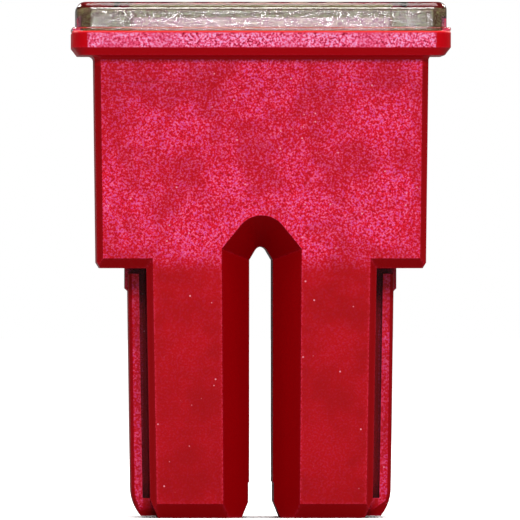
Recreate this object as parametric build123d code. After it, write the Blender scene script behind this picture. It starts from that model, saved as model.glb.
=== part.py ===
from build123d import *

import os
from math import acos, atan2, cos, hypot, sin

# An automotive cartridge fuse with two long hollow legs that push onto male blades.
# Frame, in millimetres: X across both legs, Y front to back with the front at -Y, Z up.
# The origin is under the middle of the fuse, on the plane of the leg ends.

# --- driving dimensions -------------------------------------------------------------
HEIGHT = 30.0            # leg ends to the top of the clear cap
FLANGE_WIDTH = 22.0
FLANGE_DEPTH = 14.2
FLANGE_BOTTOM = 26.9
FLANGE_TOP = 28.3
FLANGE_CORNER = 1.1
BODY_WIDTH_TOP = 19.45   # the side walls draw in slightly towards the legs
BODY_WIDTH_BOTTOM = 19.12
BODY_DEPTH = 12.4
BODY_BOTTOM = 14.52
WALL = 1.2
BLADE_THICKNESS = 0.8    # the male blade that each leg takes
BLADE_WIDTH = 8.0
BLADE_X = 4.3            # from the middle of the fuse to the middle of a blade

# --- housing ------------------------------------------------------------------------
BODY_BEVEL = 0.36        # the body's upright edges
BODY_FOOT_Y = (0.4, 0.58)    # its lower bevel, in and up, on the front and the back
BODY_FOOT_X = (0.2, 0.32)    # and on the ends
FLANGE_BEVEL_IN = 0.35
FLANGE_BEVEL_RISE = 0.45
FLANGE_TOP_ROUND = 0.12
FLANGE_ROOT_ROUND = 0.3

LEG_ROOT = BODY_BOTTOM + BODY_FOOT_Y[1]     # the legs draw in from here to their ends
LEG_X_TOP = 6.7          # outer side of a leg's main block at its root
LEG_X_END = 6.45
LEG_Y_END = 6.07         # half a leg's depth at its end
LEG_BEVEL = 0.38
LEG_END_X = (0.45, 1.05)     # the lead-in round each leg end, in and up, on its sides
LEG_END_Y = (0.45, 0.82)     # and on its front and back
LEG_BLOCK_TOP = 17.6     # where the leg blocks have run up into the body

SLOT_X = 0.685           # half the gap between the legs
SLOT_SPRING = 15.0
SLOT_TOP = 15.77
SLOT_CROWN = 0.4         # radius of the arch's crown, with a straight flank on each side
SPLAY_X = 2.33           # half the width of the splay round the gap, on the faces
SPLAY_SPRING = 15.65
SPLAY_TOP = 17.6
SPLAY_CROWN = 1.57
SPLAY_DEPTH = 2.3        # how far back the splay meets the straight gap
SPLAY_MIDDLE = (0.42, 0.55)  # at this share of the depth, this share of the splay is left

RAIL_X_TOP = 7.75        # a guide rail stands out of each leg's outer side
RAIL_X_LOW = 7.57
RAIL_DEPTH = 7.2
RAIL_ROUND = 0.26
RAIL_TIP = (6.98, 0.1)   # the rail's lower corner, rounded through RAIL_TIP_MIDDLE
RAIL_TIP_MIDDLE = (7.37, 0.74)
RAIL_TIP_RISE = 1.8
RAIL_TIP_Y = (0.3, 0.85) # the lead-in on the front and back of the tip
RAIL_PAD_PROUD = 0.15    # a pad at the rail's root
RAIL_PAD_BOTTOM = 13.2
CHANNEL_WIDTH = 0.42     # between the rail's two bars and the leg
CHANNEL_DEPTH = 0.9
CHANNEL_BOTTOM = 1.15
CHANNEL_TOP_GAP = 0.32   # over the bars, under the body
CHANNEL_RUN_IN = 0.06    # how far the channel's top is let into the body's underside
CHANNEL_ROUND = 0.22

CHAMBER_X = 8.55
CHAMBER_Y = 5.0
CHAMBER_FLOOR = 16.0
CHAMBER_CORNER = 0.6
SADDLE_X = 1.9           # the solid saddle over the gap between the legs
SADDLE_TOP = 18.4
CAVITY_INNER_X = 2.1     # the blade space in each leg
CAVITY_OUTER_X = 5.4
CAVITY_Y = 4.85
CAVITY_CORNER = 0.3
MOUTH_RISE = 0.55        # lead-in at the mouth of the blade space
MOUTH_OUT = 0.25
CATCH_X = 5.85           # pocket in the outer wall that the terminal's lance springs into
CATCH_Y = 1.3
CATCH_BOTTOM = 12.4
CATCH_TOP = 15.0

RIB_X = 10.25            # weld rib at each end of the flange's top
RIB_WIDTH = 0.3
RIB_LENGTH = 11.2
RIB_TOP = 29.1

# --- clear cap ----------------------------------------------------------------------
CAP_MARGIN = 0.25        # the flange stands out this far past the cap all round
CAP_ROUND = 0.5
BEAD_TOP = 28.52         # thin bead round the cap's foot, as wide as the flange
BEAD_ROUND = 0.08
CAP_WINDOW = 0.9         # thickness over the chamber
PLUG_GAP = 0.05
PLUG_WALL = 0.85
PLUG_BOTTOM = 25.8

# --- fuse link ----------------------------------------------------------------------
SHEET = 0.5
LINK_BOTTOM = 1.6
SOCKET_TOP = 12.3        # top of the part that is folded round the blade
SOCKET_INNER_X = 2.3
SOCKET_GAP = 0.15        # beside each edge of the blade
LIP_Y = 2.4              # the lips stop here, with the spring's back leaf behind them
BEND = 0.45              # radius of a fold, at the middle of the sheet
STRIP_TOP = 24.6
TAB_Y = 3.9
TAB_INNER_X = 3.9
EAR_OUTER_X = 7.3
EAR_Y = 1.8
EAR_WINDOW_TOP = 18.4
LANCE_Y = 0.9
LANCE_BOTTOM = 12.6
LANCE_TOP = 14.85
LANCE_OUT = 5.75
STRIP_WIDTH = 1.15
STRIP_RUN_X = 2.3        # spacing of the strip's three runs
STRIP_RUN_Y = 3.3
STRIP_BEND = 0.85
NECK_RADIUS = 0.32
NECK_Y = 1.75
BOSS_RADIUS = 1.0

# --- tin pellet ---------------------------------------------------------------------
PELLET_SHANK = 0.42
PELLET_HEAD = 0.82
PELLET_RISE = 0.36

# --- contact clips ------------------------------------------------------------------
CLIP_SHEET = 0.3
CLIP_Y = 3.6
CLIP_BOTTOM = 2.9
CLIP_TOP = 11.9
CLIP_FOLD = 0.3
CLIP_APEX_Z = 7.4
CLIP_SQUEEZE = 0.3       # how far a blade pushes the bowed leaf back
CLIP_END_X = 3.45


def both_sides(shape):
    """The shape and its twin in the other leg."""
    return shape + mirror(shape, about=Plane.YZ)


def slab(x0, x1, half_y, z0, z1):
    """A plain block, centred front to back."""
    outline = Pos((x0 + x1) / 2, 0, z0) * Rectangle(x1 - x0, 2 * half_y)
    return extrude(outline, amount=z1 - z0)


def front_extrusion(points, half_y):
    """A polygon seen from the front, extruded both ways along Y."""
    return extrude(Plane.XZ * Polygon(*points, align=None), amount=half_y, both=True)


def rounded_prism(width, depth, corner, z0, z1, x=0):
    return extrude(Pos(x, 0, z0) * RectangleRounded(width, depth, corner), amount=z1 - z0)


def edges_at(shape, z):
    return shape.edges().filter_by(lambda edge: abs(edge.bounding_box().max.Z - z) < 1e-4
                                   and abs(edge.bounding_box().min.Z - z) < 1e-4)


def side_extrusion(points, half_x):
    """A polygon seen from the right, its points as (y, z), extruded both ways along X."""
    return extrude(Plane.YZ * Polygon(*points, align=None), amount=half_x, both=True)


def lead_in(half, floor, size):
    """What a lead-in takes off a wall that stands at this distance, as (distance, z) points."""
    inward, rise = size
    slope = inward / rise
    return [
        (half - inward - slope, floor - 1),
        (half + slope, floor + rise + 1),
        (half + slope + 1, floor + rise + 1),
        (half + slope + 1, floor - 1),
    ]


def front_and_back(points, half_x):
    """The side extrusion and its twin at the back."""
    cutter = side_extrusion([(-y, z) for y, z in points], half_x)
    return cutter + mirror(cutter, about=Plane.XZ)


def body():
    """The box round the chamber, with bevelled edges and slightly drawn side walls."""
    low = BODY_WIDTH_BOTTOM / 2
    high = BODY_WIDTH_TOP / 2
    points = [(-low, BODY_BOTTOM), (low, BODY_BOTTOM), (high, FLANGE_TOP), (-high, FLANGE_TOP)]
    block = front_extrusion(points, BODY_DEPTH / 2)
    upright = block.edges().filter_by(lambda edge: edge.bounding_box().size.Z > WALL)
    block = chamfer(upright, BODY_BEVEL)
    block -= front_and_back(lead_in(BODY_DEPTH / 2, BODY_BOTTOM, BODY_FOOT_Y), BODY_WIDTH_TOP)
    ends = front_extrusion(lead_in(low, BODY_BOTTOM, BODY_FOOT_X), BODY_DEPTH)
    return block - both_sides(ends)


def flange():
    plate = rounded_prism(FLANGE_WIDTH, FLANGE_DEPTH, FLANGE_CORNER, FLANGE_BOTTOM, FLANGE_TOP)
    plate = fillet(edges_at(plate, FLANGE_TOP), FLANGE_TOP_ROUND)
    bottom = plate.faces().sort_by(Axis.Z)[0]
    return chamfer(bottom.edges(), FLANGE_BEVEL_IN, FLANGE_BEVEL_RISE, reference=bottom)


def arch(half_width, spring, top, crown):
    """An opening seen from the front, open past the leg ends. Its head is a round crown
    with a straight flank on each side, which touches the crown without a corner."""
    foot = -1
    drop = spring - (top - crown)
    turn = atan2(half_width, drop) - acos(crown / hypot(half_width, drop))
    touch_x = crown * sin(turn)
    touch_z = top - crown + crown * cos(turn)
    outline = [
        Line((-half_width, foot), (half_width, foot)),
        Line((half_width, foot), (half_width, spring)),
        Line((half_width, spring), (touch_x, touch_z)),
        ThreePointArc((touch_x, touch_z), (0, top), (-touch_x, touch_z)),
        Line((-touch_x, touch_z), (-half_width, spring)),
        Line((-half_width, spring), (-half_width, foot)),
    ]
    return make_face(Curve() + outline)


def leg_gap():
    """The gap between the legs, splayed out towards the front and the back face."""
    share_deep, share_left = SPLAY_MIDDLE
    deep = (SLOT_X, SLOT_SPRING, SLOT_TOP, SLOT_CROWN)
    face = (SPLAY_X, SPLAY_SPRING, SPLAY_TOP, SPLAY_CROWN)
    middle = [inner + share_left * (outer - inner) for inner, outer in zip(deep, face)]
    outlines = [(0, face), (share_deep * SPLAY_DEPTH, middle), (SPLAY_DEPTH, deep)]
    sections = [Plane.XZ.offset(BODY_DEPTH / 2 - depth) * arch(*size) for depth, size in outlines]
    splay = loft(sections)
    slot = extrude(Plane.XZ * arch(*deep), amount=BODY_DEPTH, both=True)
    return slot + splay + mirror(splay, about=Plane.XZ)


def leg_end_wedges():
    """What the lead-in takes off round both leg ends."""
    outer = lead_in(LEG_X_END, 0, LEG_END_X)
    inner = [(2 * SLOT_X - x, z) for x, z in lead_in(SLOT_X, 0, LEG_END_X)]
    sides = front_extrusion(outer, BODY_DEPTH) + front_extrusion(inner, BODY_DEPTH)
    return both_sides(sides) + front_and_back(lead_in(LEG_Y_END, 0, LEG_END_Y), BODY_DEPTH)


def leg_blocks():
    """Both legs' main blocks as one block, before the gap between them is taken out."""
    def tapered(end, root):
        top = end + (root - end) * LEG_BLOCK_TOP / LEG_ROOT
        return [(-end, 0), (end, 0), (top, LEG_BLOCK_TOP), (-top, LEG_BLOCK_TOP)]

    block = front_extrusion(tapered(LEG_X_END, LEG_X_TOP), BODY_DEPTH)
    block &= side_extrusion(tapered(LEG_Y_END, BODY_DEPTH / 2), BODY_DEPTH)
    upright = block.edges().filter_by(lambda edge: edge.bounding_box().size.Z > WALL)
    block = chamfer(upright, LEG_BEVEL) - leg_end_wedges()
    return block & slab(-BODY_DEPTH, BODY_DEPTH, BODY_DEPTH / 2, 0, LEG_BLOCK_TOP)


def leg_side(z):
    """Where the outer side of the right leg's main block stands at this height."""
    return LEG_X_END + (LEG_X_TOP - LEG_X_END) * z / LEG_ROOT


def rail():
    """The guide rail on the right leg: two bars on a core, with a pad at its root."""
    inner = (CAVITY_OUTER_X + LEG_X_END) / 2
    low = (RAIL_X_LOW, RAIL_TIP_RISE)
    profile = [
        Line((inner, RAIL_TIP[1]), RAIL_TIP),
        ThreePointArc(RAIL_TIP, RAIL_TIP_MIDDLE, low),
        Line(low, (RAIL_X_TOP, LEG_ROOT)),
        Line((RAIL_X_TOP, LEG_ROOT), (inner, LEG_ROOT)),
        Line((inner, LEG_ROOT), (inner, RAIL_TIP[1])),
    ]
    bar = extrude(Plane.XZ * make_face(Curve() + profile), amount=RAIL_DEPTH / 2, both=True)
    corners = bar.edges().filter_by(
        lambda edge: edge.center().X > LEG_X_TOP and abs(edge.center().Y) > RAIL_DEPTH / 2 - 1e-3
        and edge.bounding_box().min.Z < BODY_BOTTOM
    )
    bar = fillet(corners, RAIL_ROUND)
    bar -= front_and_back(lead_in(RAIL_DEPTH / 2, RAIL_TIP[1], RAIL_TIP_Y), BODY_DEPTH)
    pad = slab(inner, RAIL_X_TOP + RAIL_PAD_PROUD, RAIL_DEPTH / 2 - CHANNEL_DEPTH,
               RAIL_PAD_BOTTOM, LEG_ROOT)
    pad_foot = pad.faces().sort_by(Axis.Z)[0].edges().sort_by(Axis.X)[-1]
    return bar + chamfer(pad_foot, RAIL_PAD_PROUD)


def rail_channels():
    """The narrow channel between each bar of the right rail, the leg and the body."""
    top = BODY_BOTTOM - CHANNEL_TOP_GAP
    roof = BODY_BOTTOM + CHANNEL_RUN_IN
    beyond = RAIL_X_TOP + CHANNEL_RUN_IN
    outline = Polygon(
        (leg_side(CHANNEL_BOTTOM), CHANNEL_BOTTOM),
        (leg_side(CHANNEL_BOTTOM) + CHANNEL_WIDTH, CHANNEL_BOTTOM),
        (leg_side(top) + CHANNEL_WIDTH, top),
        (beyond, top),
        (beyond, roof),
        (leg_side(roof), roof),
        align=None,
    )
    corner = outline.vertices().sort_by_distance((leg_side(roof), roof, 0))[0]
    outline = fillet(corner, CHANNEL_ROUND)
    floor = RAIL_DEPTH / 2 - CHANNEL_DEPTH
    cutter = extrude(Plane.XZ.offset(floor) * outline, amount=CHANNEL_DEPTH + CHANNEL_RUN_IN)
    return cutter + mirror(cutter, about=Plane.XZ)


def chamber():
    """The space for the fuse link over both legs, with the saddle left standing."""
    space = rounded_prism(2 * CHAMBER_X, 2 * CHAMBER_Y, CHAMBER_CORNER, CHAMBER_FLOOR, RIB_TOP)
    return space - slab(-SADDLE_X, SADDLE_X, CHAMBER_Y + 1, CHAMBER_FLOOR - 1, SADDLE_TOP)


def blade_space():
    """The space in the right leg, from its mouth up into the chamber."""
    width = CAVITY_OUTER_X - CAVITY_INNER_X
    middle = (CAVITY_OUTER_X + CAVITY_INNER_X) / 2
    space = rounded_prism(width, 2 * CAVITY_Y, CAVITY_CORNER, -1, CHAMBER_FLOOR + 1, middle)
    wide = Pos(middle, 0, 0) * RectangleRounded(width + 2 * MOUTH_OUT, 2 * (CAVITY_Y + MOUTH_OUT),
                                                CAVITY_CORNER + MOUTH_OUT)
    narrow = Pos(middle, 0, MOUTH_RISE) * RectangleRounded(width, 2 * CAVITY_Y, CAVITY_CORNER)
    mouth = loft([wide, narrow])
    catch = slab(CAVITY_OUTER_X - 1, CATCH_X, CATCH_Y, CATCH_BOTTOM, CATCH_TOP)
    return space + mouth + catch


def weld_rib():
    rib = slab(RIB_X, RIB_X + RIB_WIDTH, RIB_LENGTH / 2, FLANGE_TOP - WALL / 2, RIB_TOP)
    return chamfer(edges_at(rib, RIB_TOP), RIB_WIDTH / 4)


def housing():
    shell = body() + flange()
    root = edges_at(shell, FLANGE_BOTTOM).filter_by(
        lambda edge: abs(edge.center().X) < BODY_WIDTH_TOP / 2 + 1e-3
        and abs(edge.center().Y) < BODY_DEPTH / 2 + 1e-3
    )
    shell = fillet(root, FLANGE_ROOT_ROUND)
    shell += leg_blocks() - leg_gap()
    shell -= leg_gap()
    shell += both_sides(rail())
    shell -= both_sides(rail_channels())
    shell += both_sides(weld_rib())
    return shell - chamber() - both_sides(blade_space())


def clear_cap():
    """A clear plate with a plug that fits down inside the chamber's walls."""
    width = FLANGE_WIDTH - 2 * CAP_MARGIN
    depth = FLANGE_DEPTH - 2 * CAP_MARGIN
    plate = rounded_prism(width, depth, FLANGE_CORNER - CAP_MARGIN, FLANGE_TOP, HEIGHT)
    plate = fillet(edges_at(plate, HEIGHT), CAP_ROUND)
    bead = rounded_prism(FLANGE_WIDTH, FLANGE_DEPTH, FLANGE_CORNER, FLANGE_TOP, BEAD_TOP)
    bead = fillet(edges_at(bead, BEAD_TOP) + edges_at(bead, FLANGE_TOP), BEAD_ROUND)
    plug_x = CHAMBER_X - PLUG_GAP
    plug_y = CHAMBER_Y - PLUG_GAP
    plug_corner = CHAMBER_CORNER - PLUG_GAP
    plug = rounded_prism(2 * plug_x, 2 * plug_y, plug_corner, PLUG_BOTTOM, FLANGE_TOP)
    inside = rounded_prism(2 * (plug_x - PLUG_WALL), 2 * (plug_y - PLUG_WALL), plug_corner / 2,
                           PLUG_BOTTOM - 1, HEIGHT - CAP_WINDOW)
    groove = slab(RIB_X - PLUG_GAP, RIB_X + RIB_WIDTH + PLUG_GAP, RIB_LENGTH / 2 + PLUG_GAP,
                  FLANGE_TOP - 1, RIB_TOP + PLUG_GAP)
    return plate + bead + plug - inside - both_sides(groove)


def socket():
    """The part of the right terminal that is folded round the blade's edges."""
    back = SOCKET_INNER_X + SHEET / 2
    face = BLADE_X + BLADE_THICKNESS / 2 + SHEET / 2
    side = BLADE_WIDTH / 2 + SOCKET_GAP + SHEET / 2
    fold = FilletPolyline(
        (back, LIP_Y), (back, side), (face, side), (face, -side), (back, -side), (back, -LIP_Y),
        radius=BEND,
    )
    section = Pos(0, 0, LINK_BOTTOM) * trace(fold, line_width=SHEET)
    return extrude(section, amount=SOCKET_TOP - LINK_BOTTOM)


def riser():
    """The right terminal's contact plate, which rises through the leg and folds level."""
    face = BLADE_X + BLADE_THICKNESS / 2 + SHEET / 2
    half_width = BLADE_WIDTH / 2 + SOCKET_GAP - BEND + SHEET / 2
    level = STRIP_TOP - SHEET / 2
    bent = FilletPolyline((face, LINK_BOTTOM), (face, level), (TAB_INNER_X, level), radius=BEND)
    plate = extrude(Plane.XZ * trace(bent, line_width=SHEET), amount=TAB_Y, both=True)
    plate += slab(face - SHEET / 2, face + SHEET / 2, half_width, SOCKET_TOP, EAR_WINDOW_TOP)
    outside = face + SHEET / 2
    plate -= slab(face - SHEET, outside + SHEET, EAR_Y, CHAMBER_FLOOR + SHEET, EAR_WINDOW_TOP)
    ear = slab(face, EAR_OUTER_X, EAR_Y, CHAMBER_FLOOR, CHAMBER_FLOOR + SHEET)
    ear = fillet(ear.edges().filter_by(Axis.Z).sort_by(Axis.X)[-2:], SHEET)
    plate -= slab(face - SHEET, outside + SHEET, LANCE_Y + SOCKET_GAP, LANCE_BOTTOM, LANCE_TOP + SOCKET_GAP)
    lance = front_extrusion(
        [
            (face - SHEET / 2, LANCE_BOTTOM),
            (outside, LANCE_BOTTOM),
            (LANCE_OUT, LANCE_TOP),
            (LANCE_OUT - 0.8 * SHEET, LANCE_TOP),
        ],
        LANCE_Y,
    )
    return plate + ear + lance


def strip():
    """The level strip that melts, in three runs, with a boss and necks in the middle."""
    run = STRIP_RUN_X
    reach = STRIP_RUN_Y
    path = FilletPolyline(
        (-TAB_INNER_X, -reach), (-run, -reach), (-run, reach), (0, reach),
        (0, -reach), (run, -reach), (run, reach), (TAB_INNER_X, reach),
        radius=STRIP_BEND,
    )
    outline = trace(path, line_width=STRIP_WIDTH) + Circle(BOSS_RADIUS)
    outline -= Circle(PELLET_SHANK)
    necks = [Pos(side * STRIP_WIDTH / 2, end * NECK_Y) * Circle(NECK_RADIUS)
             for side in (-1, 1) for end in (-1, 1)]
    outline -= necks
    return extrude(Pos(0, 0, STRIP_TOP - SHEET) * outline, amount=SHEET)


def fuse_link():
    """One stamping: two folded terminals, joined by the strip that melts."""
    terminal = socket() + riser()
    return both_sides(terminal) + strip()


def tin_pellet():
    """A tin rivet through the boss of the strip, with a domed head on each side."""
    shank = Pos(0, 0, STRIP_TOP - SHEET) * extrude(Circle(PELLET_SHANK), amount=SHEET)
    head = extrude(Circle(PELLET_HEAD), amount=PELLET_RISE)
    head = fillet(edges_at(head, PELLET_RISE), 0.9 * PELLET_RISE)
    upper = Pos(0, 0, STRIP_TOP) * head
    lower = Pos(0, 0, STRIP_TOP - SHEET) * mirror(head, about=Plane.XY)
    return shank + upper + lower


def contact_clip():
    """A hairpin of spring sheet: a flat back leaf, and a bowed leaf that presses the blade."""
    half = CLIP_SHEET / 2
    back = SOCKET_INNER_X + SHEET + half
    apex = BLADE_X - BLADE_THICKNESS / 2 + CLIP_SQUEEZE - half
    foot = back + 2 * CLIP_FOLD
    back_leaf = Line((back, CLIP_TOP), (back, CLIP_BOTTOM + CLIP_FOLD + half))
    fold = TangentArc(back_leaf @ 1, (foot, CLIP_BOTTOM + CLIP_FOLD + half), tangent=back_leaf % 1)
    bowed = ThreePointArc(fold @ 1, (apex, CLIP_APEX_Z), (CLIP_END_X, CLIP_TOP))
    leaf = trace(Curve() + [back_leaf, fold, bowed], line_width=CLIP_SHEET)
    return extrude(Plane.XZ * leaf, amount=CLIP_Y, both=True)


right_clip = contact_clip()
pieces = {
    "housing": housing(),
    "clear_cap": clear_cap(),
    "fuse_link": fuse_link(),
    "tin_pellet": tin_pellet(),
    "contact_clip_right": right_clip,
    "contact_clip_left": mirror(right_clip, about=Plane.YZ),
}

os.makedirs("parts", exist_ok=True)
for name, piece in pieces.items():
    export_step(piece, f"parts/{name}.step")
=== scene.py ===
# %% [markdown]
# # An automotive cartridge fuse
# The fuse is a red plastic housing on two hollow legs, with a clear cap over the metal
# link that melts. The CAD model already has every piece at its real size, so this lesson
# only gives the pieces their fine edges and their finishes, and then lights them.

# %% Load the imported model
import math

import bmesh
import bpy
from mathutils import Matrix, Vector


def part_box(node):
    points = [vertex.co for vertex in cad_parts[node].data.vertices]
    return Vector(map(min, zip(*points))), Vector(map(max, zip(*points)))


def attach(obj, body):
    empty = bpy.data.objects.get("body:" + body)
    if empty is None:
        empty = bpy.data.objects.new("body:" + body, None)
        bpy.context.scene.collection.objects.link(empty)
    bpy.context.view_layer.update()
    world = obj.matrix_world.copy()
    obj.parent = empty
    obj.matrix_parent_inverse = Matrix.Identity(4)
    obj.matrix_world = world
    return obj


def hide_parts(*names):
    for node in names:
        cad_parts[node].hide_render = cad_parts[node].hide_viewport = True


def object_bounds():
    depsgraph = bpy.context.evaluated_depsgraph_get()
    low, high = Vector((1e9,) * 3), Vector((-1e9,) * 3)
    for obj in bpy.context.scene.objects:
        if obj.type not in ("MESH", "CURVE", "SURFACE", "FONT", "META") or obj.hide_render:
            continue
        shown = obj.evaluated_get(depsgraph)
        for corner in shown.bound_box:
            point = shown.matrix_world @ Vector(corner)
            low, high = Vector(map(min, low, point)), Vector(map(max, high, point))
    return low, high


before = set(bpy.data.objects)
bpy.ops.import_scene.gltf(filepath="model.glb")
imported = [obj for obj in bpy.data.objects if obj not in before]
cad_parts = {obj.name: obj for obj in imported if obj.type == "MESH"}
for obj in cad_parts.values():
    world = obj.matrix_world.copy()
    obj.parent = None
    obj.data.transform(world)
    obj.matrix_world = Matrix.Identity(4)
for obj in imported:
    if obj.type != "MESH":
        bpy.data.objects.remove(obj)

MM = 0.001
cad_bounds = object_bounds()
low, high = (Vector(corner) for corner in cad_bounds)
centre = (low + high) / 2
scene = bpy.context.scene
print("CAD size in mm:", [round(side / MM, 2) for side in high - low])

# %% [markdown]
# ## Camera
# A small part is usually shot with a long lens from well back, so that its sides stay
# parallel. The field is set from the height of the fuse, and the lens follows from it.
# The camera stands very slightly to the left, which shows one wall of the narrow gap.

# %% Place the camera
SENSOR_WIDTH = 36
SHOT_DISTANCE = 1.35
SHOT_MARGIN = 1.0115
SHOT_FIELD = SHOT_MARGIN * (high.z - low.z)
SHOT_SIDE = math.radians(0.9)
camera_data = bpy.data.cameras.new("camera")
camera_data.sensor_width = SENSOR_WIDTH
camera_data.lens = SENSOR_WIDTH * SHOT_DISTANCE / SHOT_FIELD
camera_data.clip_start = 0.01
camera_data.clip_end = 20
camera = bpy.data.objects.new("camera", camera_data)
camera.location = (-SHOT_DISTANCE * math.sin(SHOT_SIDE), -SHOT_DISTANCE * math.cos(SHOT_SIDE), centre.z)
camera.rotation_euler = (math.pi / 2, 0, -SHOT_SIDE)
scene.collection.objects.link(camera)
scene.camera = camera
scene.view_settings.view_transform = "Standard"
print("lens in mm:", round(camera_data.lens))


# %% [markdown]
# ## Shader helpers
# Every finish below is a small tree of nodes. One helper adds a node, sets its fields,
# and gives each input either a constant or a link, so that a tree reads from top to
# bottom like a recipe.

# %% Node helpers
def node(tree, kind, fields=None, inputs=None):
    made = tree.nodes.new(kind)
    for name, value in (fields or {}).items():
        setattr(made, name, value)
    for name, value in (inputs or {}).items():
        if isinstance(value, bpy.types.NodeSocket):
            tree.links.new(value, made.inputs[name])
        else:
            made.inputs[name].default_value = value
    return made


def maths(tree, operation, first, second=0.0, clamp=False):
    fields = {"operation": operation, "use_clamp": clamp}
    return node(tree, "ShaderNodeMath", fields, {0: first, 1: second}).outputs[0]


def mix(tree, share, first, second):
    """A colour between two, by a share from 0 to 1."""
    fields = {"data_type": "RGBA"}
    return node(tree, "ShaderNodeMix", fields, {0: share, 6: first, 7: second}).outputs[2]


def ramp(tree, value, start, end, low_value=0.0, high_value=1.0):
    """The value taken smoothly from one range to another."""
    fields = {"interpolation_type": "SMOOTHSTEP"}
    inputs = {
        "Value": value, "From Min": start, "From Max": end,
        "To Min": low_value, "To Max": high_value,
    }
    return node(tree, "ShaderNodeMapRange", fields, inputs).outputs[0]


def noise(tree, where, scale, detail, roughness, seed=0.0):
    """Noise from 0 to 1. The fourth dimension is the seed that sets two noises apart."""
    fields = {"noise_dimensions": "4D"}
    inputs = {"Vector": where, "W": seed, "Scale": scale, "Detail": detail, "Roughness": roughness}
    return node(tree, "ShaderNodeTexNoise", fields, inputs).outputs["Fac"]


def tint(red, green, blue):
    """A colour written from 0 to 255, turned into the linear light that shaders use."""
    def linear(level):
        share = level / 255
        return share / 12.92 if share <= 0.04045 else ((share + 0.055) / 1.055) ** 2.4
    return (linear(red), linear(green), linear(blue), 1)


def new_group(name, inputs, outputs):
    """An empty shader group with named sockets: its tree, its inputs and its output node."""
    tree = bpy.data.node_groups.new(name, "ShaderNodeTree")
    for title, default in inputs.items():
        socket = tree.interface.new_socket(title, in_out="INPUT", socket_type="NodeSocketFloat")
        socket.default_value = default
    for title in outputs:
        tree.interface.new_socket(title, in_out="OUTPUT", socket_type="NodeSocketFloat")
    given = tree.nodes.new("NodeGroupInput").outputs
    return tree, given, tree.nodes.new("NodeGroupOutput")


def use_group(tree, group, inputs):
    return node(tree, "ShaderNodeGroup", {"node_tree": group}, inputs).outputs


def new_material(name):
    """A material with an empty tree: the material, its tree, and its output node."""
    material = bpy.data.materials.new(name)
    material.use_nodes = True
    material.node_tree.nodes.clear()
    return material, material.node_tree, material.node_tree.nodes.new("ShaderNodeOutputMaterial")


# %% [markdown]
# ## Shared effects
# A mould is cut by sparks, and its skin prints a fine grain on every plastic part. The
# grain group gives that as a height, with a mask of bright flecks where the grain peaks
# catch the light, a mask of pits, a hue that wanders from fleck to fleck, and a slow cloud
# that varies the colour over millimetres. Specks are the single grains that stand out: each
# Voronoi cell draws a lot by its random colour, and about half of the cells show one.

# %% Group: moulded grain
PER_MM = 1 / MM
SPECKS_PER_MM = 1.5
CLOUDS_PER_MM = 0.4
HUE_SEED = 5.0
CLOUD_SEED = 9.0
grain_group, given, result = new_group(
    "moulded_grain", {"Grain per mm": 6.0}, ["Height", "Flecks", "Pits", "Hue", "Cloud", "Specks"]
)
tree = grain_group
place = node(tree, "ShaderNodeTexCoord").outputs["Object"]
fine_scale = maths(tree, "MULTIPLY", given["Grain per mm"], PER_MM)
fine = noise(tree, place, fine_scale, 2.0, 0.6)
flecks = ramp(tree, fine, 0.46, 0.64)
pits = ramp(tree, fine, 0.46, 0.34)
hue = ramp(tree, noise(tree, place, fine_scale, 1.0, 0.5, HUE_SEED), 0.4, 0.6)
cloud = ramp(tree, noise(tree, place, CLOUDS_PER_MM * PER_MM, 3.0, 0.55, CLOUD_SEED), 0.3, 0.7)
speck_inputs = {"Vector": place, "Scale": SPECKS_PER_MM * PER_MM}
cells = node(tree, "ShaderNodeTexVoronoi", None, speck_inputs).outputs
lot = node(tree, "ShaderNodeSeparateColor", None, {0: cells["Color"]}).outputs[0]
drawn_lots = ramp(tree, lot, 0.45, 0.5)
specks = maths(tree, "MULTIPLY", ramp(tree, cells["Distance"], 0.1, 0.04), drawn_lots)
grain_outputs = {
    "Height": fine, "Flecks": flecks, "Pits": pits, "Hue": hue, "Cloud": cloud, "Specks": specks,
}
for title, value in grain_outputs.items():
    tree.links.new(value, result.inputs[title])
print("group:", tree.name, len(tree.nodes), "nodes")

# %% [markdown]
# A rounded edge catches a line of light that a flat face misses. The Bevel node gives the
# normal that a rounded edge would have, and where that differs from the true normal there
# is an edge. The group turns the difference into a mask, so each finish decides its use;
# the red plastic paints a highlight along it.

# %% Group: edge mask
edge_group, given, result = new_group("edge_mask", {"Reach mm": 0.12, "Gain": 6.0}, ["Edge"])
tree = edge_group
reach = maths(tree, "MULTIPLY", given["Reach mm"], MM)
rounded = node(tree, "ShaderNodeBevel", {"samples": 6}, {"Radius": reach}).outputs[0]
flat = node(tree, "ShaderNodeNewGeometry").outputs["Normal"]
dot = node(tree, "ShaderNodeVectorMath", {"operation": "DOT_PRODUCT"}, {0: rounded, 1: flat})
turned = maths(tree, "SUBTRACT", 1.0, dot.outputs["Value"])
edge = maths(tree, "MULTIPLY", turned, given["Gain"], clamp=True)
tree.links.new(edge, result.inputs["Edge"])
print("group:", tree.name, len(tree.nodes), "nodes")
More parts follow.
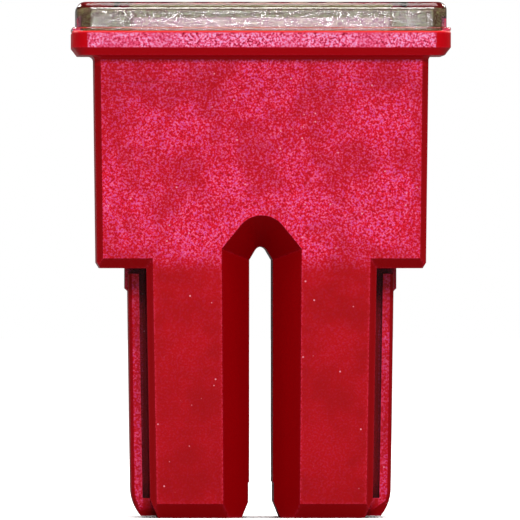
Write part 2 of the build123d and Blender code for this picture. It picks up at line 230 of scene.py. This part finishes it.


# %% [markdown]
# ## Red moulded plastic
# The housing is a deep red, filled plastic, and the mould's spark grain gives it a fine relief.
# On the broad front and back faces a pink and violet sheen of the lamps is painted into the
# colour, with painted glints and painted pit shade, dense on the body, the flange and the rails,
# and thin on the legs. Bevels, corners and slots are painted a darker red as shade, a strip just
# under the flange a lighter red as light, and the edges get a painted pink highlight. The painted
# sheen is built from object coordinates and the normal. Narrow grooves get painted shade from
# ambient occlusion, which measures how far a point is closed in by the housing itself.

# %% Finish: red plastic
# Shares of painted sheen, the lamps' reflection, for each zone of the broad faces.
RED_GRAIN = 8.5
LEG_SHEEN = 0.05
BODY_SHEEN = 0.7
RAIL_SHEEN = 0.5
FLANGE_SHEEN = 0.5
RAIL_FOOT = 6.8 * MM
LEG_TOP = 15 * MM
FLANGE_FOOT = 27.2 * MM
SHARP_STEP = 0.1 * MM
NOOK_REACH = 1.1 * MM
DEEP_RED = tint(162, 0, 8)
LIGHT_RED = tint(178, 1, 13)
# Painted sheen colours: pink on the body and legs, paler pink on the flange.
SHEEN_RED = tint(230, 10, 38)
SHEEN_FLANGE = tint(232, 84, 136)
# Painted shade on bevels, corners and slots, and painted light on the strip just under the flange.
SIDE_SHADE_RED = tint(152, 0, 6)
UNDER_FLANGE_LIGHT_RED = tint(188, 1, 15)
# Painted shade in the grain pits, where the sheen is painted.
PIT_SHADE_RED = tint(140, 0, 34)
# Painted glints on the grain peaks and on single specks.
PINK_GLINT = tint(246, 112, 166)
VIOLET_GLINT = tint(210, 84, 172)
FLANGE_GLINT = tint(242, 196, 232)
PALE_GLINT = tint(238, 140, 160)
# Painted highlight along the edges.
EDGE_HIGHLIGHT_PINK = tint(226, 52, 84)
# Painted shade in narrow grooves and nooks.
NOOK_SHADE_RED = tint(40, 0, 3)


def red_sheen(tree, grain, place, broad):
    """How much painted sheen each point gets, and the share of it that lies on the flange."""
    beside = maths(tree, "ABSOLUTE", place["X"])
    on_rail = ramp(tree, beside, RAIL_FOOT, RAIL_FOOT + SHARP_STEP, 0.0, RAIL_SHEEN)
    fade_start = LEG_TOP - 0.9 * MM
    fade_end = LEG_TOP + 0.8 * MM
    on_body = ramp(tree, place["Z"], fade_start, fade_end, LEG_SHEEN, BODY_SHEEN)
    on_flange = ramp(tree, place["Z"], FLANGE_FOOT, FLANGE_FOOT + SHARP_STEP, 0.0, FLANGE_SHEEN)
    sheen = maths(tree, "ADD", maths(tree, "MAXIMUM", on_body, on_rail), on_flange)
    clouded = maths(tree, "MULTIPLY", sheen, ramp(tree, grain["Cloud"], 0.0, 1.0, 0.5, 1.15))
    return maths(tree, "MULTIPLY", clouded, broad), on_flange


def red_colour(tree, grain, place, broad, edge):
    """The colour, from the plain reds up to the painted sheen, glints and edge highlight, and the
    painted shade in nooks.
    """
    sheen, on_flange = red_sheen(tree, grain, place, broad)
    flat_red = mix(tree, grain["Cloud"], DEEP_RED, LIGHT_RED)
    # Painted sheen: the broad faces take a pinker red where the lamps would mirror in them.
    with_sheen = mix(tree, on_flange, mix(tree, sheen, flat_red, SHEEN_RED), SHEEN_FLANGE)
    # Faces that turn away get a darker red as painted shade, except just under the flange, where a
    # lighter red is painted light.
    near_flange = ramp(tree, place["Z"], FLANGE_FOOT - MM, FLANGE_FOOT - 0.8 * MM)
    side_shade_and_light = mix(tree, near_flange, SIDE_SHADE_RED, UNDER_FLANGE_LIGHT_RED)
    plain = mix(tree, broad, side_shade_and_light, with_sheen)
    # Painted shade in the grain pits, scaled by the painted sheen.
    pit_shaded = mix(tree, maths(tree, "MULTIPLY", grain["Pits"], sheen), plain, PIT_SHADE_RED)
    # Painted glints on the grain peaks within the sheen, then painted glint specks on the broad faces.
    glint_colour = mix(tree, on_flange, mix(tree, grain["Hue"], PINK_GLINT, VIOLET_GLINT), FLANGE_GLINT)
    with_glints = mix(tree, maths(tree, "MULTIPLY", grain["Flecks"], sheen), pit_shaded, glint_colour)
    specked = mix(tree, maths(tree, "MULTIPLY", grain["Specks"], broad), with_glints, PALE_GLINT)
    # Painted highlight: a broken pink line along the edges, stronger on the broad faces.
    broken_line = maths(tree, "MULTIPLY", edge, ramp(tree, grain["Height"], 0.42, 0.58, 0.05, 0.8))
    line = maths(tree, "MULTIPLY", broken_line, ramp(tree, broad, 0.0, 1.0, 0.35, 1.0))
    highlighted = mix(tree, line, specked, EDGE_HIGHLIGHT_PINK)
    # Painted shade: ambient occlusion darkens the colour in narrow grooves.
    fields = {"samples": 8, "only_local": True}
    opening = node(tree, "ShaderNodeAmbientOcclusion", fields, {"Distance": NOOK_REACH}).outputs["AO"]
    return mix(tree, ramp(tree, opening, 0.1, 0.5), NOOK_SHADE_RED, highlighted)


def red_plastic():
    material, tree, output = new_material("red_plastic")
    grain = use_group(tree, grain_group, {"Grain per mm": RED_GRAIN})
    edge = use_group(tree, edge_group, {"Reach mm": 0.3, "Gain": 11.0})["Edge"]
    surface_is = node(tree, "ShaderNodeTexCoord").outputs
    place = node(tree, "ShaderNodeSeparateXYZ", None, {0: surface_is["Object"]}).outputs
    facing = node(tree, "ShaderNodeSeparateXYZ", None, {0: surface_is["Normal"]}).outputs
    broad = ramp(tree, maths(tree, "ABSOLUTE", facing["Y"]), 0.97, 0.995)
    relief = {"Strength": 0.25, "Distance": 0.02 * MM, "Height": grain["Height"]}
    surface = node(tree, "ShaderNodeBsdfPrincipled", None, {
        "Base Color": red_colour(tree, grain, place, broad, edge),
        "Roughness": ramp(tree, grain["Height"], 0.3, 0.7, 0.3, 0.42),
        "Normal": node(tree, "ShaderNodeBump", None, relief).outputs[0],
        "IOR": 1.5,
        "Specular IOR Level": 0.1,
    })
    tree.links.new(surface.outputs[0], output.inputs["Surface"])
    return material


# %% [markdown]
# ## Clear plastic
# The cap is a clear, faintly yellow plastic. Glass with an absorbing volume gives the tint
# where light travels far through it, as along the rim, and leaves the thin window clear.
# Its upright sides are as sparked as the housing and break up what they mirror. Shadow
# rays pass straight through, so that lamps light the metal under the window.

# %% Finish: clear plastic
CLEAR = tint(255, 253, 247)
VIOLET_SHADE = tint(204, 156, 204)
WHITE_FLECK = tint(255, 253, 250)
SHADOW_TINT = (0.93, 0.92, 0.84, 1)
DEPTH_TINT = (0.47, 0.46, 0.2, 1)


def clear_plastic():
    material, tree, output = new_material("clear_plastic")
    grain = use_group(tree, grain_group, {"Grain per mm": 5.5})
    normal = node(tree, "ShaderNodeTexCoord").outputs["Normal"]
    facing = node(tree, "ShaderNodeSeparateXYZ", None, {0: normal}).outputs
    side = ramp(tree, maths(tree, "ABSOLUTE", facing["Z"]), 0.5, 0.1)
    rough_side = ramp(tree, grain["Height"], 0.35, 0.65, 0.03, 0.16)
    shade = maths(tree, "ADD", maths(tree, "MULTIPLY", rough_side, side), 0.03)
    height = maths(tree, "MULTIPLY", grain["Height"], side)
    relief = {"Strength": 0.32, "Distance": 0.02 * MM, "Height": height}
    speckled = mix(tree, grain["Flecks"], VIOLET_SHADE, WHITE_FLECK)
    surface = node(tree, "ShaderNodeBsdfPrincipled", None, {
        "Base Color": mix(tree, side, CLEAR, speckled),
        "Roughness": shade,
        "Normal": node(tree, "ShaderNodeBump", None, relief).outputs[0],
        "IOR": 1.49,
        "Transmission Weight": 1.0,
    })
    passing = node(tree, "ShaderNodeBsdfTransparent", None, {"Color": SHADOW_TINT})
    is_shadow = node(tree, "ShaderNodeLightPath").outputs["Is Shadow Ray"]
    choices = {0: is_shadow, 1: surface.outputs[0], 2: passing.outputs[0]}
    either = node(tree, "ShaderNodeMixShader", None, choices)
    volume = node(tree, "ShaderNodeVolumeAbsorption", None, {"Color": DEPTH_TINT, "Density": 270.0})
    tree.links.new(either.outputs[0], output.inputs["Surface"])
    tree.links.new(volume.outputs[0], output.inputs["Volume"])
    return material


# %% [markdown]
# ## Metals
# The link is copper alloy sheet with dull tin plating, the pellet is cast tin, and the
# clips are rolled spring steel. One function serves all three: rolled sheet has fine
# streaks along its run, which a stretched noise gives, and the edges are a little brighter.
# Cast tin has no streaks, so its noise isn't stretched.

# %% Finish: metals
STREAKS_PER_MM = 9.0
ALONG_Z = (1, 1, 0.08)
EVEN = (1, 1, 1)


def metal(name, dark, bright, smoothest, roughest, stretch):
    material, tree, output = new_material(name)
    place = node(tree, "ShaderNodeTexCoord").outputs["Object"]
    drawn = node(tree, "ShaderNodeMapping", None, {"Vector": place, "Scale": stretch}).outputs[0]
    streaks = noise(tree, drawn, STREAKS_PER_MM * PER_MM, 3.0, 0.6)
    grain = use_group(tree, grain_group, {"Grain per mm": 2.0})
    edge = use_group(tree, edge_group, {"Reach mm": 0.08})["Edge"]
    cloudy = maths(tree, "MULTIPLY", grain["Cloud"], 0.7)
    worn = maths(tree, "ADD", cloudy, maths(tree, "MULTIPLY", edge, 0.5), clamp=True)
    relief = {"Strength": 0.2, "Distance": 0.01 * MM, "Height": streaks}
    surface = node(tree, "ShaderNodeBsdfPrincipled", None, {
        "Base Color": mix(tree, worn, dark, bright),
        "Roughness": ramp(tree, streaks, 0.3, 0.7, smoothest, roughest),
        "Metallic": 1.0,
        "Normal": node(tree, "ShaderNodeBump", None, relief).outputs[0],
    })
    tree.links.new(surface.outputs[0], output.inputs["Surface"])
    return material


# %% Make the finishes
METAL_LOOKS = {
    "tinned_copper": (tint(176, 170, 160), tint(222, 218, 208), 0.28, 0.42, ALONG_Z),
    "tin": (tint(166, 166, 168), tint(206, 206, 206), 0.35, 0.5, EVEN),
    "spring_steel": (tint(150, 148, 144), tint(196, 194, 190), 0.2, 0.34, ALONG_Z),
}
finishes = {"red_plastic": red_plastic(), "clear_plastic": clear_plastic()}
for name, look in METAL_LOOKS.items():
    finishes[name] = metal(name, *look)
print("finishes:", sorted(finishes))


# %% [markdown]
# ## Fine edges
# CAD leaves every edge knife-sharp, but a real moulding or stamping catches a line of
# light along each one. The CAD mesh is copied, its loose triangles are merged and the flat
# ones joined into whole faces, and a Bevel modifier rounds what is still sharp. The work is
# done at 1 unit to the millimetre, because the modifier's own tolerances suit that size.

# %% Helper: a copy with rounded edges
MERGE_MM = 2e-4
FLAT_ANGLE = math.radians(0.4)
EDGE_ANGLE = math.radians(24)
HOUSING_EDGE_MM = 0.07
CAP_EDGE_MM = 0.04


def with_fine_edges(cad_name, name, width_mm):
    """A copy of a CAD node whose sharp edges are rounded over the width."""
    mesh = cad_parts[cad_name].data.copy()
    mesh.name = name
    if "custom_normal" in mesh.attributes:
        mesh.attributes.remove(mesh.attributes["custom_normal"])
    edit = bmesh.new()
    edit.from_mesh(mesh)
    bmesh.ops.scale(edit, vec=(PER_MM, PER_MM, PER_MM), verts=edit.verts)
    bmesh.ops.remove_doubles(edit, verts=edit.verts, dist=MERGE_MM)
    bmesh.ops.dissolve_limit(edit, angle_limit=FLAT_ANGLE, verts=edit.verts, edges=edit.edges)
    for face in edit.faces:
        face.smooth = True
    edit.to_mesh(mesh)
    edit.free()
    piece = bpy.data.objects.new(name, mesh)
    scene.collection.objects.link(piece)
    bevel = piece.modifiers.new("fine_edges", "BEVEL")
    bevel.width = width_mm
    bevel.segments = 2
    bevel.limit_method = "ANGLE"
    bevel.angle_limit = EDGE_ANGLE
    bevel.use_clamp_overlap = True
    weigh = piece.modifiers.new("flat_faces_stay_flat", "WEIGHTED_NORMAL")
    weigh.mode = "FACE_AREA"
    weigh.weight = 100
    weigh.keep_sharp = True
    depsgraph = bpy.context.evaluated_depsgraph_get()
    finished = bpy.data.meshes.new_from_object(piece.evaluated_get(depsgraph))
    piece.modifiers.clear()
    piece.data = finished
    for vertex in finished.vertices:
        vertex.co *= MM
    finished.name = name
    print(name, "faces:", len(finished.polygons))
    return piece


def finish_piece(piece, cad_name, slot):
    """Gives a piece its finish and puts it in place of its CAD node."""
    piece.data.materials.clear()
    piece.data.materials.append(finishes[slot])
    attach(piece, "root")
    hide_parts(cad_name)


# %% Housing
housing = with_fine_edges("housing", "red_housing", HOUSING_EDGE_MM)
finish_piece(housing, "housing", "red_plastic")

# %% Cap
cap = with_fine_edges("clear_cap", "window_cap", CAP_EDGE_MM)
finish_piece(cap, "clear_cap", "clear_plastic")

# %% [markdown]
# ## Swept pieces
# Each contact clip is one ribbon of spring sheet that follows a hairpin path, and the
# mould's witness lines are thin ridges that follow straight ones. Geometry Nodes sweep a
# rectangle along a path, so one tree with named inputs makes both, at any sheet or width.

# %% Tree: a swept rectangle
def socket_of(tree, title):
    """The identifier of a tree's input, by which a modifier stores its value."""
    found = [item for item in tree.interface.items_tree if item.name == title and item.in_out == "INPUT"]
    return found[0].identifier


sweep_tree = bpy.data.node_groups.new("swept_rectangle", "GeometryNodeTree")
sweep_tree.interface.new_socket("Geometry", in_out="INPUT", socket_type="NodeSocketGeometry")
for title in ("Thickness", "Width", "Step"):
    sweep_tree.interface.new_socket(title, in_out="INPUT", socket_type="NodeSocketFloat")
sweep_tree.interface.new_socket("Material", in_out="INPUT", socket_type="NodeSocketMaterial")
sweep_tree.interface.new_socket("Geometry", in_out="OUTPUT", socket_type="NodeSocketGeometry")
given = sweep_tree.nodes.new("NodeGroupInput").outputs
even = node(sweep_tree, "GeometryNodeResampleCurve", {"mode": "LENGTH"},
            {"Curve": given["Geometry"], "Length": given["Step"]})
outline = node(sweep_tree, "GeometryNodeCurvePrimitiveQuadrilateral", {"mode": "RECTANGLE"},
               {"Width": given["Thickness"], "Height": given["Width"]})
swept = node(sweep_tree, "GeometryNodeCurveToMesh", None,
             {"Curve": even.outputs[0], "Profile Curve": outline.outputs[0], "Fill Caps": True})
smooth = node(sweep_tree, "GeometryNodeSetShadeSmooth", None,
              {0: swept.outputs[0], "Shade Smooth": True})
real = node(sweep_tree, "GeometryNodeRealizeInstances", None, {0: smooth.outputs[0]})
coated = node(sweep_tree, "GeometryNodeSetMaterial", None,
              {"Geometry": real.outputs[0], "Material": given["Material"]})
result = sweep_tree.nodes.new("NodeGroupOutput")
sweep_tree.links.new(coated.outputs[0], result.inputs[0])


# %% Helper: sweep along paths
CORNER_ANGLE = math.radians(40)


def sweep(name, paths, thickness, width, step, slot):
    """A plain mesh of a rectangle swept along each path, smooth along it and sharp at its corners."""
    curve = bpy.data.curves.new(name + "_path", "CURVE")
    curve.dimensions = "3D"
    for points in paths:
        spline = curve.splines.new("POLY")
        spline.points.add(len(points) - 1)
        for point, place in zip(spline.points, points):
            point.co = (*place, 1)
    guide = bpy.data.objects.new(name + "_path", curve)
    scene.collection.objects.link(guide)
    modifier = guide.modifiers.new("sweep", "NODES")
    modifier.node_group = sweep_tree
    values = {"Thickness": thickness, "Width": width, "Step": step, "Material": finishes[slot]}
    for title, value in values.items():
        modifier[socket_of(sweep_tree, title)] = value
    depsgraph = bpy.context.evaluated_depsgraph_get()
    mesh = bpy.data.meshes.new_from_object(guide.evaluated_get(depsgraph))
    mesh.name = name
    bpy.data.objects.remove(guide)
    piece = bpy.data.objects.new(name, mesh)
    scene.collection.objects.link(piece)
    edit = bmesh.new()
    edit.from_mesh(mesh)
    bmesh.ops.recalc_face_normals(edit, faces=edit.faces)
    for edge in edit.edges:
        edge.smooth = len(edge.link_faces) == 2 and edge.calc_face_angle() < CORNER_ANGLE
    edit.to_mesh(mesh)
    edit.free()
    print(name, "faces:", len(mesh.polygons))
    return piece


# %% Contact clips
CLIP_SHEET = 0.3 * MM
CLIP_FOLD = 0.3 * MM
CLIP_FOLD_STEPS = 10
CLIP_APEX_SHARE = 0.5
CLIP_TIP_OUT = 0.5 * MM
CLIP_TIP_DROP = 0.13 * CLIP_SHEET
CLIP_BOW_STEPS = 24
CLIP_STEP = 0.25 * MM


def arc_through(start, middle, end, count):
    """Points on the circle through three (x, z) points."""
    (ax, az), (bx, bz), (cx, cz) = start, middle, end
    twice = 2 * (ax * (bz - cz) + bx * (cz - az) + cx * (az - bz))
    squares = [x * x + z * z for x, z in (start, middle, end)]
    ux = (squares[0] * (bz - cz) + squares[1] * (cz - az) + squares[2] * (az - bz)) / twice
    uz = (squares[0] * (cx - bx) + squares[1] * (ax - cx) + squares[2] * (bx - ax)) / twice
    radius = math.hypot(ax - ux, az - uz)
    first = math.atan2(az - uz, ax - ux)
    last = math.atan2(cz - uz, cx - ux)
    turns = [first + (last - first) * step / count for step in range(count + 1)]
    return [(ux + radius * math.cos(turn), uz + radius * math.sin(turn)) for turn in turns]


def hairpin(box_low, box_high):
    """The clip's path as (x, z) points: flat back leaf, fold, and the bowed leaf.

    The bowed leaf ends at a slant, so the tip drops a little to keep its corner in the box.
    """
    back = box_low.x + CLIP_SHEET / 2
    apex = box_high.x - CLIP_SHEET / 2
    top = box_high.z - CLIP_TIP_DROP
    fold_z = box_low.z + CLIP_FOLD + CLIP_SHEET / 2
    fold_x = back + CLIP_FOLD
    turns = [math.pi * (1 + step / CLIP_FOLD_STEPS) for step in range(CLIP_FOLD_STEPS + 1)]
    fold = [(fold_x + CLIP_FOLD * math.cos(turn), fold_z + CLIP_FOLD * math.sin(turn)) for turn in turns]
    apex_z = fold_z + CLIP_APEX_SHARE * (top - fold_z)
    bowed = arc_through(fold[-1], (apex, apex_z), (back + CLIP_TIP_OUT, top), CLIP_BOW_STEPS)
    return [(back, top), *fold, *bowed[1:]]


right_low, right_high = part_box("contact_clip_right")
clip_path = hairpin(right_low, right_high)
clip_width = right_high.y - right_low.y
for side, cad_name in ((1, "contact_clip_right"), (-1, "contact_clip_left")):
    route = [(side * x, 0, z) for x, z in clip_path]
    clip = sweep("spring_" + cad_name, [route], CLIP_SHEET, clip_width, CLIP_STEP, "spring_steel")
    finish_piece(clip, cad_name, "spring_steel")
    for axis, places in zip("xyz", zip(*[vertex.co for vertex in clip.data.vertices])):
        reach = [round(end(places) / MM, 2) for end in (min, max)]
        cad_reach = [round(getattr(corner, axis) / MM, 2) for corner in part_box(cad_name)]
        print(clip.name, axis, "in mm:", reach, "CAD:", cad_reach)

# %% [markdown]
# ## Witness lines
# Where two parts of the mould met, they left a fine ridge, here in two runs just under the
# flange. A bump in the material would do from afar, but a real ridge catches the light from
# every side. The ridges belong to the housing, and are half sunk in its front wall.

# %% Witness lines
FLANGE_PROUD = 0.9 * MM
LINE_Z = 25.4 * MM
LINE_RUNS = ((-8.8, -3.2), (3.9, 6.2))
LINE_DEPTH = 0.05 * MM
LINE_WIDTH = 0.06 * MM
LINE_STEP = 0.5 * MM
wall_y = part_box("housing")[0].y + FLANGE_PROUD
lines = [[(start * MM, wall_y, LINE_Z), (end * MM, wall_y, LINE_Z)] for start, end in LINE_RUNS]
witness = sweep("witness_lines", lines, LINE_DEPTH, LINE_WIDTH, LINE_STEP, "red_plastic")
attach(witness, "root")

# %% [markdown]
# ## Link and pellet
# The link is stamped and the pellet is cast, both with crisp edges, and they are seen only
# through the cap. So they keep the meshes of their CAD nodes and get a finish.

# %% Metal pieces
METALS = {"fuse_link": "tinned_copper", "tin_pellet": "tin"}
for cad_name, slot in METALS.items():
    cad_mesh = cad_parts[cad_name].data
    cad_mesh.materials.clear()
    cad_mesh.materials.append(finishes[slot])
    print(cad_name, "is finished as", slot)

# %% [markdown]
# ## Floor, backdrop and light
# The set is plain white. The floor and the world look white to the camera and through clear
# plastic. They mirror as a dim grey and send little light back up at the fuse, so the reds
# stay deep and the faces that look down stay dark.

# %% White set
FILL_LEVEL = 0.2
MIRRORED_LEVEL = 0.12
FLOOR_WHITE = 0.96
WORLD_WHITE = 1.0
FLOOR_REACH = 3.0


def set_level(tree, white):
    """White to the camera and through clear plastic, dim where it mirrors or lights the fuse."""
    path = node(tree, "ShaderNodeLightPath").outputs
    seen = maths(tree, "ADD", path["Is Camera Ray"], path["Is Transmission Ray"], True)
    change = maths(tree, "MULTIPLY", path["Is Glossy Ray"], MIRRORED_LEVEL - FILL_LEVEL)
    dim = maths(tree, "ADD", FILL_LEVEL, change)
    grey = node(tree, "ShaderNodeCombineColor", None, {0: dim, 1: dim, 2: dim}).outputs[0]
    return mix(tree, seen, grey, (white, white, white, 1))


floor_material, tree, output = new_material("studio_floor")
floor_surface = node(tree, "ShaderNodeBsdfDiffuse", None, {"Color": set_level(tree, FLOOR_WHITE)})
tree.links.new(floor_surface.outputs[0], output.inputs["Surface"])

floor_mesh = bpy.data.meshes.new("studio_floor")
corners = [(x * FLOOR_REACH, y * FLOOR_REACH, 0) for x, y in ((-1, -1), (1, -1), (1, 1), (-1, 1))]
floor_mesh.from_pydata(corners, [], [(0, 1, 2, 3)])
floor_mesh.materials.append(floor_material)
floor = bpy.data.objects.new("studio_floor", floor_mesh)
scene.collection.objects.link(floor)

world = bpy.data.worlds.new("white_world")
world.use_nodes = True
scene.world = world
tree = world.node_tree
tree.nodes.clear()
background = node(tree, "ShaderNodeBackground", None, {"Color": set_level(tree, WORLD_WHITE)})
world_output = node(tree, "ShaderNodeOutputWorld")
tree.links.new(background.outputs[0], world_output.inputs["Surface"])


# %% [markdown]
# The main lamp stands high in front, so that the upright faces are evenly lit and nothing
# mirrors it into the lens. A small one in line with the lens gives the cap its glint, and
# two from behind light the back and the ends for other views. A broad soft sun straight
# above lights the floor and the tops.

# %% Lamps
SKY_STRENGTH = 3.3
SKY_ANGLE = math.radians(50)
LAMPS = (
    # name, place in metres, size in metres, power in watts
    ("main_lamp", (0.04, -0.40, 0.29), (0.18, 0.16), 1.8),
    ("lens_lamp", (0.016, -1.0, high.z), (0.045, 0.02), 0.24),
    ("back_left_lamp", (-0.30, 0.30, 0.25), (0.14, 0.14), 1.3),
    ("back_right_lamp", (0.30, 0.30, 0.25), (0.14, 0.14), 1.3),
)


def soft_lamp(name, place, size, power):
    """A rectangular lamp aimed at the middle of the fuse, hidden from the camera."""
    lamp_data = bpy.data.lights.new(name, "AREA")
    lamp_data.shape = "RECTANGLE"
    lamp_data.size, lamp_data.size_y = size
    lamp_data.energy = power
    lamp = bpy.data.objects.new(name, lamp_data)
    lamp.location = place
    lamp.rotation_euler = (centre - Vector(place)).to_track_quat("-Z", "Y").to_euler()
    lamp.visible_camera = False
    scene.collection.objects.link(lamp)


for lamp_settings in LAMPS:
    soft_lamp(*lamp_settings)

sky_data = bpy.data.lights.new("top_lamp", "SUN")
sky_data.energy = SKY_STRENGTH
sky_data.angle = SKY_ANGLE
sky = bpy.data.objects.new("top_lamp", sky_data)
scene.collection.objects.link(sky)
